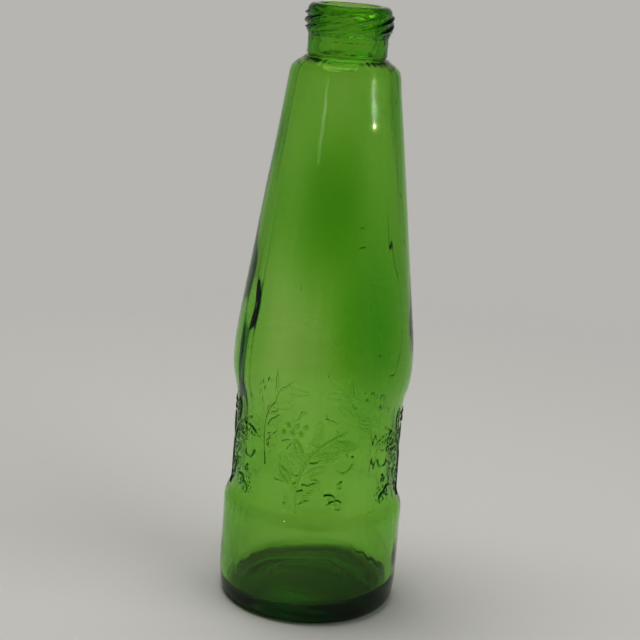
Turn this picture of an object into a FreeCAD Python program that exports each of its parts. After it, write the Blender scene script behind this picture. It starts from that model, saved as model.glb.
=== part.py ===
import FreeCAD, Part
import Sketcher
import math
import os

# A green glass soda bottle, 187 mm tall. One gather of glass makes it, so every node here is a
# region that a mould part forms (neck ring, blow mould, bottom plate) or a raised mark that the
# mould leaves. Neighbours meet face to face. +Z is up the bottle's axis, the origin is the middle
# of the bearing ring's plane, and -Y is the front, where the first relief panel is.

document = FreeCAD.newDocument("SodaBottle")
sheet = document.addObject("Spreadsheet::Sheet", "Sizes")

# alias, millimetres (or degrees, or a count), what it measures
DRIVING_SIZES = [
    ("total_height", 187.4, "bearing plane to the top of the lip"),
    ("wall", 2.6, "glass thickness of the blown walls"),
    ("body_radius", 28.4, "lower body, outside"),
    ("bearing_inner", 21.4, "bearing ring, inner radius"),
    ("bearing_outer", 24.6, "bearing ring, outer radius"),
    ("bearing_depth", 0.8, "bearing ring, height"),
    ("notch_depth", 0.4, "knurl notch, height"),
    ("notch_width", 0.9, "knurl notch, across"),
    ("notch_inner", 22.5, "knurl notch, inner end"),
    ("notch_count", 48.0, "knurl notches round the ring"),
    ("heel_round", 3.4, "heel, outside rounding"),
    ("heel_side_top", 8.0, "height where the heel's side meets the body"),
    ("heel_top", 13.0, "height of the heel region"),
    ("push_up", 3.4, "height of the push-up under the base"),
    ("floor_height", 6.2, "inner floor at its edge"),
    ("floor_crown", 1.2, "rise of the inner floor at the axis"),
    ("baffle_radius", 12.0, "baffle ring under the base, radius"),
    ("baffle_bead", 0.55, "baffle ring, bead radius"),
    ("step_foot", 31.0, "height where the lower body starts to narrow"),
    ("waist_foot", 39.5, "height where the waist starts"),
    ("waist_top", 63.0, "height where the waist ends"),
    ("waist_radius", 26.0, "waist, outside"),
    ("bulge_height", 78.0, "height of the widest line above the waist"),
    ("bulge_radius", 28.05, "widest line above the waist, outside"),
    ("taper_foot", 90.5, "height where the straight taper starts"),
    ("taper_foot_radius", 27.15, "taper at its foot, outside"),
    ("taper_top", 167.3, "height where the taper ends"),
    ("taper_top_radius", 16.7, "taper at its top, outside"),
    ("shoulder_round", 3.6, "shoulder corner, outside rounding"),
    ("shoulder_corner_radius", 15.2, "end of the shoulder's rounding, outside"),
    ("shoulder_corner_height", 169.85, "end of the shoulder's rounding, height"),
    ("shoulder_slope_radius", 12.9, "inner end of the shoulder's slope"),
    ("shoulder_slope_height", 171.45, "inner end of the shoulder's slope, height"),
    ("neck_root_round", 2.0, "fillet between shoulder and neck"),
    ("neck_foot", 173.2, "height where the neck starts"),
    ("neck_radius", 12.0, "neck, outside"),
    ("neck_top", 178.2, "height where the neck ends"),
    ("bore_radius", 8.6, "bore of neck and finish"),
    ("bore_foot", 171.5, "height where the bore opens into the shoulder"),
    ("shoulder_inner_radius", 11.6, "inner shoulder, start of its rounding"),
    ("shoulder_inner_height", 169.9, "inner shoulder, height of that start"),
    ("shoulder_inner_round", 3.2, "inner shoulder, rounding"),
    ("neck_seam_height", 176.8, "parting line of the neck ring mould"),
    ("neck_seam_width", 0.7, "that parting line, height along the axis"),
    ("neck_seam_bend", 0.5, "that parting line, radius of its bead"),
    ("finish_foot", 179.4, "height where the threaded wall starts"),
    ("finish_radius", 12.6, "threaded wall, outside"),
    ("lip_foot", 185.4, "height where the lip starts"),
    ("lip_round", 2.0, "lip, outside rounding"),
    ("lip_inner_round", 0.9, "lip, inside rounding"),
    ("thread_starts", 8.0, "number of thread starts"),
    ("thread_lead", 20.0, "thread, rise in one turn"),
    ("thread_rise", 4.0, "rise of one start from end to end"),
    ("thread_foot", 180.3, "height of the middle of a start's lower end"),
    ("thread_half_width", 0.75, "thread, half the width at the flanks' top"),
    ("thread_flank", 0.15, "thread, spread of each flank"),
    ("thread_shoulder", 0.15, "thread, height of each flank"),
    ("thread_sink", 0.3, "depth of the thread section inside the wall, trimmed off"),
    ("thread_crest_bend", 0.77, "thread, radius of its crest"),
    ("relief_height", 1.0, "height of the relief on the waist"),
    ("relief_middle", 54.5, "height of the relief's middle"),
    ("stem_radius", 22.0, "radius of the stem's curve"),
    ("stem_width", 1.2, "width of the stem"),
    ("leaf_length", 8.4, "leaf, base to tip"),
    ("leaf_bend", 6.0, "leaf, radius of each edge"),
    ("leaf_gap", 0.4, "gap between a leaf and the stem"),
    ("berry_radius", 0.9, "berry"),
    ("berry_pitch", 2.8, "spacing of berries"),
    ("seam_height", 0.15, "mould seam, height above the wall"),
    ("seam_angle", 0.9, "mould seam, width as an angle about the axis"),
]

for row, (alias, number, note) in enumerate(DRIVING_SIZES, start=1):
    sheet.set(f"A{row}", note)
    sheet.set(f"B{row}", str(number))
    sheet.setAlias(f"B{row}", alias)
document.recompute()

PANEL_ANGLES = {
    "relief_front": 0,
    "relief_right": 72,
    "relief_back_right": 144,
    "relief_back_left": 216,
    "relief_left": 288,
}
SEAM_ANGLES = {"seam_left": -52, "seam_right": 128}  # degrees from the front, towards +X
FRONT = -90  # degrees from +X to the bottle's front

pieces = []


class Size:
    """A length in millimetres together with the expression that binds it to the sheet."""

    def __init__(self, number, text):
        self.number = number
        self.text = text

    def joined(self, other, sign, result):
        other_text = other.text if isinstance(other, Size) else repr(other)
        return Size(result, f"({self.text} {sign} {other_text})")

    def __add__(self, other):
        return self.joined(other, "+", self.number + plain(other))

    def __sub__(self, other):
        return self.joined(other, "-", self.number - plain(other))

    def __mul__(self, other):
        return self.joined(other, "*", self.number * plain(other))

    def __truediv__(self, other):
        return self.joined(other, "/", self.number / plain(other))


def plain(amount):
    return amount.number if isinstance(amount, Size) else amount


def size(alias):
    return Size(float(sheet.get(alias)), f"Sizes.{alias}")


def bind(thing, prop, amount):
    thing.setExpression(prop, amount.text)


def arc_radius(chord_a, chord_b):
    """Radius of an arc that starts square to chord_a and ends chord_a along and chord_b across."""
    return (chord_a * chord_a + chord_b * chord_b) / (chord_b * 2)


# An outline is a list of corners (across, up, bend). The bend belongs to the edge that leaves the
# corner: None is straight, a positive radius turns left along the outline, a negative one right.


def edge_between(start, end):
    """The edge from one corner to the next, and whether it is drawn backwards."""
    begin = FreeCAD.Vector(plain(start[0]), plain(start[1]), 0)
    finish = FreeCAD.Vector(plain(end[0]), plain(end[1]), 0)
    if start[2] is None:
        return Part.LineSegment(begin, finish), False
    bend = plain(start[2])
    chord = finish - begin
    half = chord.Length / 2
    left = FreeCAD.Vector(-chord.y, chord.x, 0).normalize()
    away = math.sqrt(bend * bend - half * half)
    middle = (begin + finish) * 0.5 + left * math.copysign(away, bend)
    angles = [math.atan2(p.y - middle.y, p.x - middle.x) for p in (begin, finish)]
    backwards = bend < 0
    if backwards:
        angles.reverse()
    circle = Part.Circle(middle, FreeCAD.Vector(0, 0, 1), abs(bend))
    return Part.ArcOfCircle(circle, *angles), backwards


def pin_point(sketch, curve, point, across, up):
    """Hold a sketch point at its place, with each distance from the origin bound to the sheet."""
    for kind, amount, axis in (("DistanceX", across, -2), ("DistanceY", up, -1)):
        if plain(amount) == 0:
            sketch.addConstraint(Sketcher.Constraint("PointOnObject", curve, point, axis))
            continue
        held = Sketcher.Constraint(kind, -1, 1, curve, point, plain(amount))
        number = sketch.addConstraint(held)
        bind(sketch, f"Constraints[{number}]", amount)


def draw_outline(sketch, corners):
    """Add one closed outline to a sketch, fully constrained."""
    first = sketch.GeometryCount
    total = len(corners)
    starts = []
    ends = []
    for step, corner in enumerate(corners):
        edge, backwards = edge_between(corner, corners[(step + 1) % total])
        curve = sketch.addGeometry(edge, False)
        starts.append((curve, 2 if backwards else 1))
        ends.append((curve, 1 if backwards else 2))
    for step, corner in enumerate(corners):
        sketch.addConstraint(Sketcher.Constraint("Coincident", *ends[step - 1], *starts[step]))
        pin_point(sketch, *starts[step], corner[0], corner[1])
        if corner[2] is not None:
            bend = corner[2] if plain(corner[2]) > 0 else corner[2] * -1
            held = Sketcher.Constraint("Radius", first + step, plain(bend))
            number = sketch.addConstraint(held)
            bind(sketch, f"Constraints[{number}]", bend)


def draw_circle(sketch, across, up, radius):
    circle = Part.Circle(
        FreeCAD.Vector(plain(across), plain(up), 0), FreeCAD.Vector(0, 0, 1), plain(radius)
    )
    curve = sketch.addGeometry(circle, False)
    pin_point(sketch, curve, 3, across, up)
    number = sketch.addConstraint(Sketcher.Constraint("Radius", curve, plain(radius)))
    bind(sketch, f"Constraints[{number}]", radius)


def origin_plane(body, role):
    return next(plane for plane in body.Origin.OriginFeatures if plane.Role == role)


def keep(thing, label):
    """Name a finished sub-part, whose label is its node and its file."""
    thing.Label = label
    pieces.append(thing)
    return thing


def new_body(name):
    return document.addObject("PartDesign::Body", f"{name}_body")


def attached_sketch(body, name, role):
    sketch = body.newObject("Sketcher::SketchObject", f"{name}_section")
    sketch.AttachmentSupport = (origin_plane(body, role), [""])
    sketch.MapMode = "FlatFace"
    return sketch


def turned_body(name, corners, angle=None):
    """A body turned about the bottle's axis from one outline of (radius, height) corners."""
    body = new_body(name)
    sketch = attached_sketch(body, name, "XZ_Plane")
    draw_outline(sketch, corners)
    turn = body.newObject("PartDesign::Revolution", f"{name}_turn")
    turn.Profile = sketch
    turn.ReferenceAxis = (sketch, ["V_Axis"])
    turn.Angle = 360
    if angle is not None:
        bind(turn, "Angle", angle)
    return body


def about_axis(degrees):
    return FreeCAD.Placement(
        FreeCAD.Vector(0, 0, 0), FreeCAD.Rotation(FreeCAD.Vector(0, 0, 1), degrees)
    )



wall = size("wall")
nothing = 0

# Base: the bearing ring that the bottle stands on, the heel round it and the pushed-up floor.

bearing_inner = size("bearing_inner")
bearing_outer = size("bearing_outer")
bearing_depth = size("bearing_depth")

bearing_ring = turned_body(
    "bearing_ring",
    [
        (bearing_inner, nothing, None),
        (bearing_outer, nothing, None),
        (bearing_outer, bearing_depth, None),
        (bearing_inner, bearing_depth, None),
    ],
)


def knurl(body):
    """Cut the row of radial notches that keep the hot base off the conveyor."""
    document.recompute()
    before = body.Shape.Volume
    sketch = attached_sketch(body, "knurl", "XY_Plane")
    half = size("notch_width") / 2
    inner = size("notch_inner")
    draw_outline(
        sketch,
        [
            (inner, half * -1, None),
            (bearing_outer + half, half * -1, None),
            (bearing_outer + half, half, None),
            (inner, half, None),
        ],
    )
    notch = body.newObject("PartDesign::Pocket", "knurl_notch")
    notch.Profile = sketch
    notch.Reversed = True
    bind(notch, "Length", size("notch_depth"))
    row = body.newObject("PartDesign::PolarPattern", "knurl_row")
    row.Originals = [notch]
    row.Axis = (origin_plane(body, "Z_Axis"), [""])
    row.Angle = 360
    bind(row, "Occurrences", size("notch_count"))
    body.Tip = row
    document.recompute()
    one = (bearing_outer - inner).number * size("notch_width").number * size("notch_depth").number
    cut = before - body.Shape.Volume
    assert cut > 0.9 * one * size("notch_count").number, "the knurl notches cut too little"


knurl(bearing_ring)
keep(bearing_ring, "bearing_ring")

body_radius = size("body_radius")
inner_radius = body_radius - wall
floor_height = size("floor_height")
floor_round = inner_radius - bearing_inner
heel_round = size("heel_round")

heel = turned_body(
    "heel",
    [
        (bearing_inner, bearing_depth, None),
        (bearing_outer, bearing_depth, None),
        (bearing_outer, nothing, heel_round),
        (bearing_outer + heel_round, heel_round, None),
        (body_radius, size("heel_side_top"), None),
        (body_radius, size("heel_top"), None),
        (inner_radius, size("heel_top"), None),
        (inner_radius, floor_height + floor_round, floor_round * -1),
        (bearing_inner, floor_height, None),
    ],
)
keep(heel, "heel")

push_up = size("push_up")
dome_radius = arc_radius(bearing_inner, push_up - bearing_depth)
floor_crown = size("floor_crown")

base_floor = turned_body(
    "base_floor",
    [
        (nothing, push_up, dome_radius * -1),
        (bearing_inner, bearing_depth, None),
        (bearing_inner, floor_height, arc_radius(bearing_inner, floor_crown)),
        (nothing, floor_height + floor_crown, None),
    ],
)
keep(base_floor, "base_floor")

# The baffle ring is the round seam that the bottom of the blank mould leaves under the base.
baffle_radius = size("baffle_radius")
baffle_bead = document.addObject("Part::Torus", "baffle_bead")
bind(baffle_bead, "Radius1", baffle_radius)
bind(baffle_bead, "Radius2", size("baffle_bead"))
baffle_drop = Size(
    dome_radius.number - math.sqrt(dome_radius.number**2 - baffle_radius.number**2),
    f"({dome_radius.text} - sqrt({dome_radius.text}^2 - {baffle_radius.text}^2))",
)
bind(baffle_bead, "Placement.Base.z", push_up - baffle_drop)
baffle_ring = document.addObject("Part::Cut", "baffle_cut")
baffle_ring.Base = baffle_bead
baffle_ring.Tool = base_floor
keep(baffle_ring, "baffle_ring")

# Walls of the blow mould, from the heel to the shoulder.

step_foot = size("step_foot")

lower_body = turned_body(
    "lower_body",
    [
        (inner_radius, size("heel_top"), None),
        (body_radius, size("heel_top"), None),
        (body_radius, step_foot, None),
        (inner_radius, step_foot, None),
    ],
)
keep(lower_body, "lower_body")

waist_radius = size("waist_radius")
waist_inner = waist_radius - wall
waist_foot = size("waist_foot")
waist_top = size("waist_top")
step_middle_radius = (body_radius + waist_radius) / 2
step_middle_height = (step_foot + waist_foot) / 2
step_bend = arc_radius(waist_foot - step_foot, body_radius - waist_radius) / 2

waist = turned_body(
    "waist",
    [
        (body_radius, step_foot, step_bend),
        (step_middle_radius, step_middle_height, step_bend * -1),
        (waist_radius, waist_foot, None),
        (waist_radius, waist_top, None),
        (waist_inner, waist_top, None),
        (waist_inner, waist_foot, step_bend),
        (step_middle_radius - wall, step_middle_height, step_bend * -1),
        (inner_radius, step_foot, None),
    ],
)
keep(waist, "waist")

bulge_radius = size("bulge_radius")
bulge_height = size("bulge_height")
swell_middle_radius = (waist_radius + bulge_radius) / 2
swell_middle_height = (waist_top + bulge_height) / 2
swell_bend = arc_radius(bulge_height - waist_top, bulge_radius - waist_radius) / 2
taper_foot = size("taper_foot")
taper_foot_radius = size("taper_foot_radius")
crown_bend = arc_radius(taper_foot - bulge_height, bulge_radius - taper_foot_radius)

bulge = turned_body(
    "bulge",
    [
        (waist_radius, waist_top, swell_bend * -1),
        (swell_middle_radius, swell_middle_height, swell_bend),
        (bulge_radius, bulge_height, crown_bend),
        (taper_foot_radius, taper_foot, None),
        (taper_foot_radius - wall, taper_foot, crown_bend * -1),
        (bulge_radius - wall, bulge_height, swell_bend * -1),
        (swell_middle_radius - wall, swell_middle_height, swell_bend),
        (waist_inner, waist_top, None),
    ],
)
keep(bulge, "bulge")

taper_top = size("taper_top")
taper_top_radius = size("taper_top_radius")

upper_body = turned_body(
    "upper_body",
    [
        (taper_foot_radius - wall, taper_foot, None),
        (taper_foot_radius, taper_foot, None),
        (taper_top_radius, taper_top, None),
        (taper_top_radius - wall, taper_top, None),
    ],
)
keep(upper_body, "upper_body")

bore = size("bore_radius")
neck_foot = size("neck_foot")
neck_radius = size("neck_radius")

shoulder = turned_body(
    "shoulder",
    [
        (taper_top_radius - wall, taper_top, None),
        (taper_top_radius, taper_top, size("shoulder_round")),
        (size("shoulder_corner_radius"), size("shoulder_corner_height"), None),
        (size("shoulder_slope_radius"), size("shoulder_slope_height"), size("neck_root_round") * -1),
        (neck_radius, neck_foot, None),
        (bore, neck_foot, None),
        (bore, size("bore_foot"), None),
        (size("shoulder_inner_radius"), size("shoulder_inner_height"), size("shoulder_inner_round") * -1),
    ],
)
keep(shoulder, "shoulder")

# Finish: the neck, the threaded wall and the lip, which the neck ring forms.

neck_top = size("neck_top")
finish_foot = size("finish_foot")
finish_radius = size("finish_radius")
lip_foot = size("lip_foot")
total_height = size("total_height")
lip_round = size("lip_round")
lip_inner_round = size("lip_inner_round")

neck = turned_body(
    "neck",
    [
        (bore, neck_foot, None),
        (neck_radius, neck_foot, None),
        (neck_radius, neck_top, None),
        (bore, neck_top, None),
    ],
)
keep(neck, "neck")

neck_seam_height = size("neck_seam_height")
neck_seam_half = size("neck_seam_width") / 2
neck_ring_seam = turned_body(
    "neck_ring_seam",
    [
        (neck_radius, neck_seam_height - neck_seam_half, size("neck_seam_bend")),
        (neck_radius, neck_seam_height + neck_seam_half, None),
    ],
)
keep(neck_ring_seam, "neck_ring_seam")

finish_wall = turned_body(
    "finish_wall",
    [
        (bore, neck_top, None),
        (neck_radius, neck_top, None),
        (finish_radius, finish_foot, None),
        (finish_radius, lip_foot, None),
        (bore, lip_foot, None),
    ],
)
keep(finish_wall, "finish_wall")

sealing_lip = turned_body(
    "sealing_lip",
    [
        (bore, lip_foot, None),
        (finish_radius, lip_foot, lip_round),
        (finish_radius - lip_round, total_height, None),
        (bore + lip_inner_round, total_height, lip_inner_round),
        (bore, total_height - lip_inner_round, None),
    ],
)
keep(sealing_lip, "sealing_lip")

# The cap's thread has many short starts, so a part turn frees it. Each start is a round-crested
# ridge swept along a helix, trimmed to the threaded wall that it stands on.

thread_core = document.addObject("Part::Cylinder", "thread_core")
bind(thread_core, "Radius", finish_radius)
bind(thread_core, "Height", total_height)


def thread_start(number, degrees):
    name = f"thread_start_{number}"
    body = new_body(name)
    sketch = attached_sketch(body, name, "XZ_Plane")
    half = size("thread_half_width")
    foot = size("thread_foot")
    flank = half + size("thread_flank")
    sunk = finish_radius - size("thread_sink")
    shoulder_radius = finish_radius + size("thread_shoulder")
    draw_outline(
        sketch,
        [
            (sunk, foot - flank, None),
            (shoulder_radius, foot - half, size("thread_crest_bend")),
            (shoulder_radius, foot + half, None),
            (sunk, foot + flank, None),
        ],
    )
    ridge = body.newObject("PartDesign::AdditiveHelix", f"{name}_sweep")
    ridge.Profile = sketch
    ridge.ReferenceAxis = (sketch, ["V_Axis"])
    ridge.Mode = 0
    bind(ridge, "Pitch", size("thread_lead"))
    bind(ridge, "Height", size("thread_rise"))
    body.Placement = about_axis(degrees)
    trimmed = document.addObject("Part::Cut", f"{name}_trim")
    trimmed.Base = body
    trimmed.Tool = thread_core
    keep(trimmed, name)


for start in range(round(size("thread_starts").number)):
    thread_start(start + 1, start * 360 / size("thread_starts").number)

# Relief on the waist: five panels, each a sprig of leaves and a cluster of berries that is drawn
# flat, pushed out through the wall and kept only where it crosses a thin skin round the waist.

relief_height = size("relief_height")
raised_radius = waist_radius + relief_height

relief_skin = turned_body(
    "relief_skin",
    [
        (waist_radius, waist_foot, None),
        (raised_radius, waist_foot, None),
        (raised_radius, waist_top, swell_bend * -1),
        (swell_middle_radius + relief_height, swell_middle_height, None),
        (swell_middle_radius, swell_middle_height, swell_bend),
        (waist_radius, waist_top, None),
    ],
)

STEM_FROM = 118  # degrees along the stem's curve
STEM_TO = 188
LEAVES = 7
LEAF_SPREAD = 48  # degrees between a leaf and the stem
STEM_CENTRE = (16.5, -9.5)  # from the panel's middle, across and up
BERRY_PLACE = (-10.5, 10.0)  # lowest berry on the left, from the panel's middle
BERRY_ROWS = 2
BERRY_COLUMNS = 3


def on_stem(side, degrees, radius):
    """A point of the sprig at this angle and radius about the stem's centre."""
    angle = math.radians(degrees)
    across = radius * (math.cos(angle) * side) + STEM_CENTRE[0] * side
    up = radius * math.sin(angle) + (size("relief_middle") + STEM_CENTRE[1])
    return across, up


def stem_outline(side):
    outer = size("stem_radius") + size("stem_width") / 2
    inner = size("stem_radius") - size("stem_width") / 2
    corners = [
        (*on_stem(side, STEM_FROM, outer), outer * side),
        (*on_stem(side, STEM_TO, outer), None),
        (*on_stem(side, STEM_TO, inner), inner * -side),
        (*on_stem(side, STEM_FROM, inner), None),
    ]
    return corners


def leaf_outline(side, number):
    share = (number + 0.5) / LEAVES
    degrees = STEM_FROM + (STEM_TO - STEM_FROM) * share
    outwards = 1 if number % 2 else -1
    clear = size("stem_width") / 2 + size("leaf_gap")
    root = on_stem(side, degrees, size("stem_radius") + clear * outwards)
    heading = degrees - 90 + LEAF_SPREAD * outwards
    reach = size("leaf_length")
    lean = math.radians(heading)
    tip = (root[0] + reach * (math.cos(lean) * side), root[1] + reach * math.sin(lean))
    return [(*root, size("leaf_bend")), (*tip, size("leaf_bend"))]


def relief_panel(name, degrees, side):
    """One sprig; side is 1, or -1 for the mirrored one."""
    sketch = document.addObject("Sketcher::SketchObject", f"{name}_sketch")
    sketch.Placement = FreeCAD.Placement(
        FreeCAD.Vector(0, 0, 0), FreeCAD.Rotation(FreeCAD.Vector(1, 0, 0), 90)
    )
    draw_outline(sketch, stem_outline(side))
    for number in range(LEAVES):
        draw_outline(sketch, leaf_outline(side, number))
    for line in range(BERRY_ROWS):
        for column in range(BERRY_COLUMNS):
            across = size("berry_pitch") * ((column + line / 2) * side) + BERRY_PLACE[0] * side
            up = size("berry_pitch") * (line * 0.87) + (size("relief_middle") + BERRY_PLACE[1])
            draw_circle(sketch, across, up, size("berry_radius"))
    push = document.addObject("Part::Extrusion", f"{name}_push")
    push.Base = sketch
    push.DirMode = "Custom"
    push.Dir = FreeCAD.Vector(0, -1, 0)
    push.Solid = True
    bind(push, "LengthFwd", body_radius + 5)
    panel = document.addObject("Part::Common", f"{name}_common")
    panel.Base = relief_skin
    panel.Tool = push
    panel.Placement = about_axis(degrees)
    keep(panel, name)


for order, (name, degrees) in enumerate(PANEL_ANGLES.items()):
    relief_panel(name, degrees, -1 if order % 2 else 1)

# The blow mould's two halves leave a fine seam on each side, above and below the relief.

seam_height = size("seam_height")


def seam(name, degrees, corners):
    """A thin strip that stands on the wall, centred on its angle from the front."""
    strip = turned_body(name, corners, size("seam_angle"))
    strip.Placement = about_axis(FRONT + degrees - size("seam_angle").number / 2)
    keep(strip, name)


for name, degrees in SEAM_ANGLES.items():
    seam(
        f"{name}_upper",
        degrees,
        [
            (swell_middle_radius, swell_middle_height, None),
            (swell_middle_radius + seam_height, swell_middle_height, swell_bend),
            (bulge_radius + seam_height, bulge_height, crown_bend),
            (taper_foot_radius + seam_height, taper_foot, None),
            (taper_top_radius + seam_height, taper_top, None),
            (taper_top_radius, taper_top, None),
            (taper_foot_radius, taper_foot, crown_bend * -1),
            (bulge_radius, bulge_height, swell_bend * -1),
        ],
    )
    seam(
        f"{name}_lower",
        degrees,
        [
            (body_radius, size("heel_side_top"), None),
            (body_radius + seam_height, size("heel_side_top"), None),
            (body_radius + seam_height, step_foot, None),
            (body_radius, step_foot, None),
        ],
    )

document.recompute()

for thing in document.Objects:
    broken = {"Invalid", "Error"} & set(thing.State)
    assert not broken, f"{thing.Label} is {sorted(broken)}"

for piece in pieces:
    shape = piece.Shape
    assert not shape.isNull() and shape.isValid() and shape.Solids, f"{piece.Label} has no shape"

sprig_solids = 1 + LEAVES + BERRY_ROWS * BERRY_COLUMNS
for piece in pieces:
    if piece.Label in PANEL_ANGLES:
        assert len(piece.Shape.Solids) == sprig_solids, f"{piece.Label} has touching leaves"

os.makedirs("parts", exist_ok=True)
for piece in pieces:
    piece.Shape.exportStep(os.path.join("parts", f"{piece.Label}.step"))
    print(f"{piece.Label}: {len(piece.Shape.Solids)} solid(s), {piece.Shape.Volume:.1f} mm3")
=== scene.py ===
import logging
import math
from dataclasses import dataclass
from enum import Enum
from itertools import groupby
from typing import Any, Callable, Sequence

import bpy
import numpy as np
from mathutils import Matrix, Vector


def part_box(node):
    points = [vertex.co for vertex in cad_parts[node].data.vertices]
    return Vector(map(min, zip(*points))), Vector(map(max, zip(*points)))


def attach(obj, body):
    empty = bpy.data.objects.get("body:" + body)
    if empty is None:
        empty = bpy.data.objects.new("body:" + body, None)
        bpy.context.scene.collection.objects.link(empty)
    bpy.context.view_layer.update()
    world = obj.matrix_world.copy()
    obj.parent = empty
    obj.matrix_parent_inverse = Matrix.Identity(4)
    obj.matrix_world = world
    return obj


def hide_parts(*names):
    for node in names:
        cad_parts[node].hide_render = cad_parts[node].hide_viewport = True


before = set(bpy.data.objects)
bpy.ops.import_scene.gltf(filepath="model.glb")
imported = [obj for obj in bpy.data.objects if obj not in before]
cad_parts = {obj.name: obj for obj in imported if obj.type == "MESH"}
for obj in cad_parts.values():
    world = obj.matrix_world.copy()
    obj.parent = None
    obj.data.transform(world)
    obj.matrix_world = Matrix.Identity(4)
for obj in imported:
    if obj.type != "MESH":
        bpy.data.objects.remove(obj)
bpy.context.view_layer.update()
BODY = "root"
MM = 0.001

log = logging.getLogger("bottle")

Array = np.ndarray
Point = tuple[float, float]


# ---------------------------------------------------------------- small helpers


def linear(hex_colour: str) -> tuple[float, float, float, float]:
    """Turn an sRGB hex colour into linear light.

    Args:
        hex_colour: Six hex digits, with or without a leading hash.

    Returns:
        Red, green, blue and an alpha of 1.
    """
    digits = hex_colour.lstrip("#")
    channels = [int(digits[i : i + 2], 16) / 255 for i in (0, 2, 4)]
    light = [c / 12.92 if c <= 0.04045 else ((c + 0.055) / 1.055) ** 2.4 for c in channels]
    return (light[0], light[1], light[2], 1.0)


def add_node(
    tree: bpy.types.NodeTree,
    kind: str,
    settings: dict[str, Any] | None = None,
    links: dict[str | int, bpy.types.NodeSocket] | None = None,
) -> bpy.types.Node:
    """Add one shader node with its settings and incoming links.

    Args:
        tree: The node tree.
        kind: The node's type name.
        settings: Attributes by name, or input values by socket name or index.
        links: Incoming output sockets by input name or index.

    Returns:
        The new node.
    """
    node = tree.nodes.new(kind)
    for key, value in (settings or {}).items():
        if isinstance(key, str) and hasattr(node, key):
            setattr(node, key, value)
        else:
            node.inputs[key].default_value = value
    for key, socket in (links or {}).items():
        tree.links.new(socket, node.inputs[key])
    return node


def bell(distance: Array, width: float) -> Array:
    """A smooth bump of height 1 that falls off over a width."""
    return np.exp(-((distance / width) ** 2))


def ramp(amount: Array) -> Array:
    """Smooth step from 0 to 1 as the amount goes from 0 to 1."""
    t = np.clip(amount, 0.0, 1.0)
    return t * t * (3 - 2 * t)


def turn_between(angle: Array, centre: float) -> Array:
    """Signed angle from a centre, wrapped to half a turn each way, in radians."""
    return (angle - centre + math.pi) % (2 * math.pi) - math.pi


def crowded_turns(count: int, crowds: Sequence[tuple[float, float, float]]) -> Array:
    """Angles round the bottle, closer together where its surface has finer detail.

    Args:
        count: How many angles.
        crowds: Centre, spread in radians, and share of the gaps taken away at the centre.

    Returns:
        The angles in radians, in order.
    """
    even = np.arange(count) * 2 * math.pi / count
    moved = even.copy()
    for centre, spread, share in crowds:
        off = turn_between(even, centre)
        moved -= share * off * bell(off, spread)
    return moved


def node_top(name: str) -> float:
    """Height of a CAD node's highest point in millimetres."""
    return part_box(name)[1][2] / MM


def node_foot(name: str) -> float:
    """Height of a CAD node's lowest point in millimetres."""
    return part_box(name)[0][2] / MM


def node_radius(name: str) -> float:
    """Largest radius of a round CAD node in millimetres."""
    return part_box(name)[1][0] / MM


class Hand(Enum):
    """Which way round a sprig is drawn."""

    PLAIN = 1
    MIRRORED = -1


# ---------------------------------------------------------------- glass


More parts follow.
